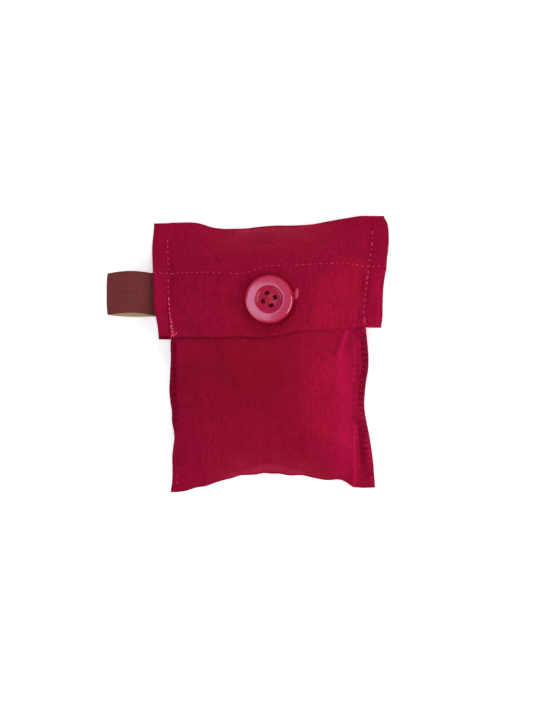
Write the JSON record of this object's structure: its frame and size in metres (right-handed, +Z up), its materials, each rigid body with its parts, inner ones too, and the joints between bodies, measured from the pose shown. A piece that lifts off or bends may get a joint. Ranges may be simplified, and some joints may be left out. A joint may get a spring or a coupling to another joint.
{
  "type": "folded silk tote bag in a buttoned pouch",
  "caption": "Silk tote bag folded small inside its own pouch, with a hemmed flap, a sew-through button in a buttonhole and a ribbon loop label in the side seam.",
  "frame": {"origin": "middle of the flat underside, where the pouch lies on the table", "axes": "+Z up, the way the button faces; +Y towards the top fold; +X to the side away from the label"},
  "size_m": [0.1341, 0.1322, 0.0318],
  "materials": {
    "silk": "satin crimson silk with a fine plain weave",
    "tote_silk": "satin crimson silk with a fine plain weave",
    "button": "polished raspberry plastic",
    "thread": "red sewing thread",
    "ribbon": "woven brown ribbon, beige on its inner side"
  },
  "bodies": {
    "root": {"pouch_cloth": "silk", "folded_tote": "tote_silk", "button": "button", "button_thread": "thread", "label_loop": "ribbon"}
  },
  "joints": []
}
